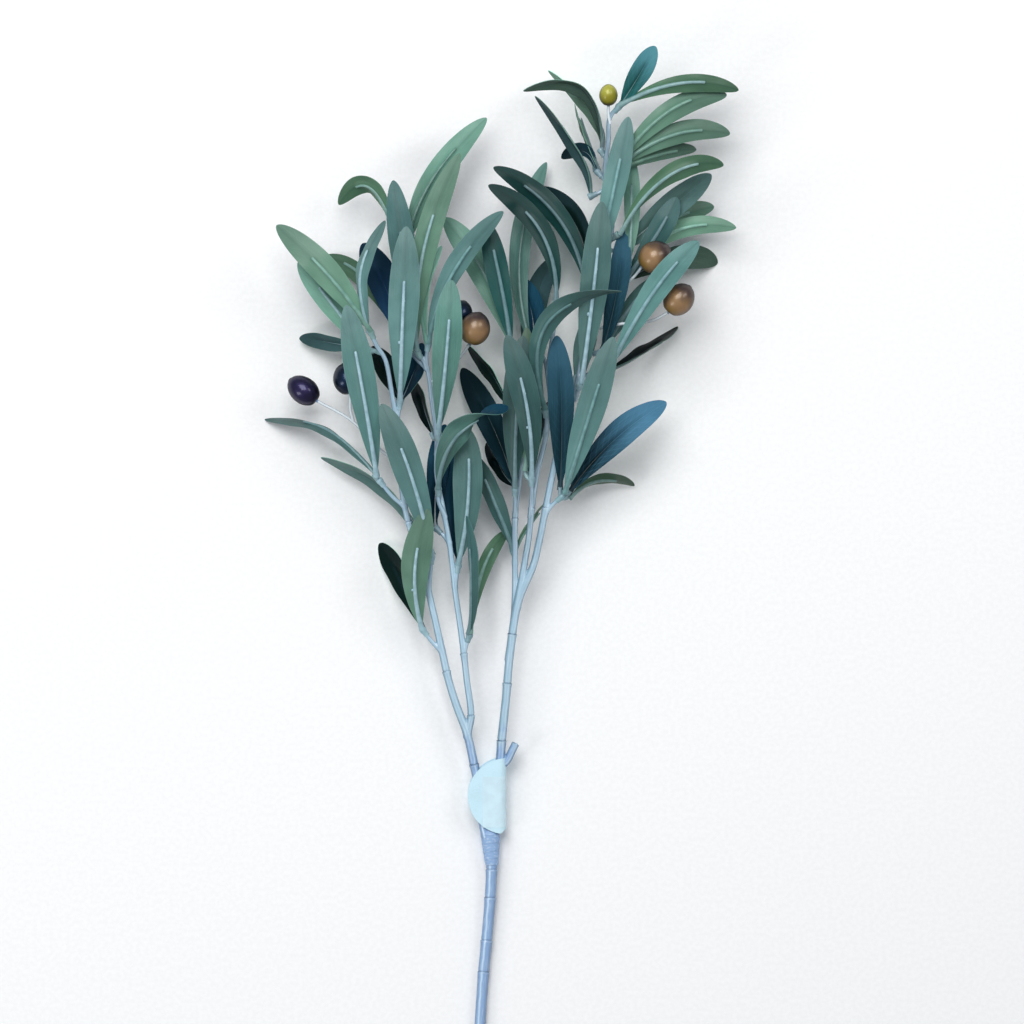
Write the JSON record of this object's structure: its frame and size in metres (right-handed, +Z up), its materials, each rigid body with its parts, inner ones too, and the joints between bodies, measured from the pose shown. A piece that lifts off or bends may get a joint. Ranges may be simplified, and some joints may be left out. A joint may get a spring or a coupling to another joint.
{
  "type": "artificial olive branch with fruit",
  "caption": "Artificial olive spray with forked moulded stems, cloth leaves on ribbed twigs, hanging olives and a folded round tag; lies flat.",
  "frame": {"origin": "under the middle of the whole spray, on the surface that it lies on", "axes": "+Y along the spray from the cut end of its stem to the leafy end; +Z up from the surface; +X to the right seen from above"},
  "size_m": [0.285, 0.6502, 0.072],
  "materials": {
    "stem_plastic": "pale blue-grey moulded polyethylene, satin",
    "leaf_cloth": "printed sage-green polyester cloth with a pale moulded rib",
    "tag_paper": "bare pale coated card",
    "olive_green": "yellow-green painted foam fruit, satin",
    "olive_gold": "brown-gold painted foam fruit, satin",
    "olive_purple": "dark purple painted foam fruit, glossy",
    "olive_navy": "near-black navy painted foam fruit, glossy"
  },
  "bodies": {
    "root": {"left_branch": "stem_plastic", "left_inner_1_leaves": "leaf_cloth", "left_inner_2_leaves": "leaf_cloth", "left_inner_3_leaf": "leaf_cloth", "left_inner_3_leaf_1": "leaf_cloth", "left_inner_4_leaf": "leaf_cloth", "left_inner_4_leaf_1": "leaf_cloth", "left_inner_5_leaves": "leaf_cloth", "left_inner_6_leaves": "leaf_cloth", "left_inner_7_leaves": "leaf_cloth", "left_inner_8_leaf_1": "leaf_cloth", "left_inner_8_leaf_2": "leaf_cloth", "left_outer_1_leaves": "leaf_cloth", "left_outer_2_leaves": "leaf_cloth", "left_outer_3_leaf_1": "leaf_cloth", "left_outer_3_leaf_2": "leaf_cloth", "left_outer_4_leaves": "leaf_cloth", "left_outer_5_leaves": "leaf_cloth", "left_outer_6_leaves": "leaf_cloth", "main_stem": "stem_plastic", "olive_left_lower": "olive_navy", "olive_left_upper": "olive_gold", "olive_outer_back": "olive_navy", "olive_outer_front": "olive_purple", "olive_right_lower": "olive_gold", "olive_right_upper": "olive_gold", "olive_top": "olive_green", "right_branch": "stem_plastic", "right_inner_1_leaves": "leaf_cloth", "right_inner_2_leaves": "leaf_cloth", "right_inner_3_leaf": "leaf_cloth", "right_inner_4_leaves": "leaf_cloth", "right_middle_1_leaf": "leaf_cloth", "right_middle_1_leaf_1": "leaf_cloth", "right_middle_1_leaf_2": "leaf_cloth", "right_middle_2_leaves": "leaf_cloth", "right_middle_3_leaves": "leaf_cloth", "right_middle_4_leaf": "leaf_cloth", "right_middle_5_leaves": "leaf_cloth", "right_outer_10_leaves": "leaf_cloth", "right_outer_11_leaves": "leaf_cloth", "right_outer_12_leaves": "leaf_cloth", "right_outer_13_leaves": "leaf_cloth", "right_outer_14_leaf": "leaf_cloth", "right_outer_1_leaf_1": "leaf_cloth", "right_outer_1_leaf_2": "leaf_cloth", "right_outer_1_leaf_3": "leaf_cloth", "right_outer_1_leaf_4": "leaf_cloth", "right_outer_2_leaf": "leaf_cloth", "right_outer_2_leaf_1": "leaf_cloth", "right_outer_3_leaves": "leaf_cloth", "right_outer_4_leaves": "leaf_cloth", "right_outer_5_leaf": "leaf_cloth", "right_outer_6_leaf": "leaf_cloth", "right_outer_7_leaves": "leaf_cloth", "right_outer_8_leaves": "leaf_cloth", "right_outer_9_leaf_1": "leaf_cloth", "right_outer_9_leaf_2": "leaf_cloth", "tag": "tag_paper"}
  },
  "joints": []
}
